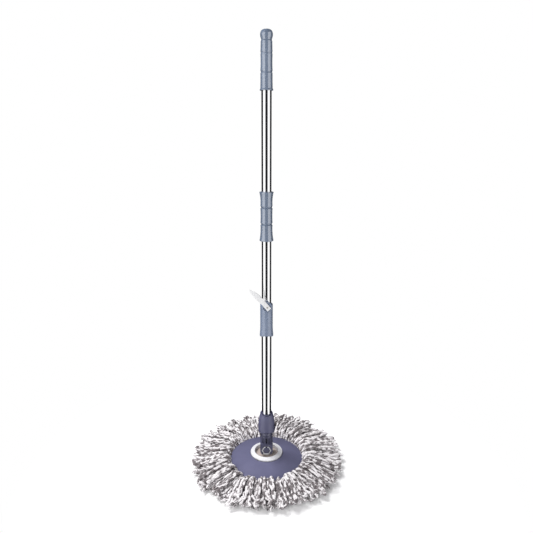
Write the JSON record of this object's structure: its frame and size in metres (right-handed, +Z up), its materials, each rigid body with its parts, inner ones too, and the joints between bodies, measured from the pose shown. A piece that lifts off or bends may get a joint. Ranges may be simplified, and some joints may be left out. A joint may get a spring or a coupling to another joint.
{
  "type": "spin mop",
  "caption": "Upright spin mop: round microfibre head under a domed disc, tilting yoke joint, chromed telescopic pole with ringed grips, lock sleeve and lever.",
  "frame": {"origin": "on the floor, under the centre of the round mop head", "axes": "+Z up along the pole, -Y to the front where the knuckle's face and the lever show, +X to the right seen from the front"},
  "size_m": [0.344, 0.344, 0.9314],
  "materials": {
    "blue_plastic": "satin, fine moulded ribs on the grips",
    "disc_plastic": "satin, faint mould grain",
    "yoke_plastic": "satin",
    "white_plastic": "semi-gloss",
    "beige_plastic": "satin",
    "chromed_tube": "polished",
    "plain_steel": "plain",
    "yarn": "looped microfibre cord, white and grey melange"
  },
  "bodies": {
    "mop_head": {"yarn_ring": "yarn", "refill_plate": "white_plastic", "mop_disc": "disc_plastic", "bearing_ring": "plain_steel", "base_cap": "disc_plastic"},
    "turntable_hub": {"turntable": "white_plastic", "turntable_washer": "beige_plastic", "retainer_ring": "white_plastic", "retainer_screw_1": "plain_steel", "retainer_screw_2": "plain_steel", "retainer_screw_3": "plain_steel", "knuckle_axle": "plain_steel", "axle_cap_front": "yoke_plastic", "axle_cap_rear": "yoke_plastic"},
    "lower_pole": {"yoke": "yoke_plastic", "collar": "disc_plastic", "collar_screw": "plain_steel", "lower_tube": "chromed_tube", "clutch_housing": "white_plastic", "lock_sleeve": "blue_plastic", "guide_bush": "white_plastic", "lever_pin": "plain_steel"},
    "drive_shaft": {"drive_bar": "plain_steel", "clutch_hub": "plain_steel", "bar_guide": "white_plastic"},
    "upper_pole": {"drive_nut": "white_plastic", "middle_tube": "chromed_tube", "coupling_socket": "white_plastic", "coupling_stud": "white_plastic", "middle_grip": "blue_plastic", "top_tube": "chromed_tube", "end_plug": "white_plastic", "top_grip": "blue_plastic"},
    "lever_arm": {"lock_lever": "white_plastic"},
    "plunger": {"lock_pin": "plain_steel"}
  },
  "joints": [
    {"name": "head_spin", "type": "hinge", "parent": "mop_head", "child": "turntable_hub", "pos_m": [0, 0, 0.0342], "axis": [0, 0, 1], "continuous": true},
    {"name": "head_tilt", "type": "hinge", "parent": "turntable_hub", "child": "lower_pole", "pos_m": [0, 0, 0.0467], "axis": [0, 1, 0], "range_deg": [-65, 65]},
    {"name": "handle_press", "type": "slide", "parent": "lower_pole", "child": "upper_pole", "axis": [0, 0, 1], "range_m": [-0.126, 0]},
    {"name": "bar_spin", "type": "hinge", "parent": "lower_pole", "child": "drive_shaft", "pos_m": [0, 0, 0.1267], "axis": [0, 0, 1], "range_deg": [-5, 460]},
    {"name": "lever_swing", "type": "hinge", "parent": "lower_pole", "child": "lever_arm", "pos_m": [0.0018, -0.0159, 0.3911], "axis": [0, 1, 0], "range_deg": [0, 40]},
    {"name": "plunger_push", "type": "slide", "parent": "lower_pole", "child": "plunger", "axis": [0, 1, 0], "range_m": [0, 0.0011]}
  ],
  "couplings": [
    {"joint": "bar_spin", "follows": "handle_press", "rad_per_m": -62.832},
    {"joint": "plunger_push", "follows": "lever_swing", "m_per_rad": 0.0014324}
  ]
}
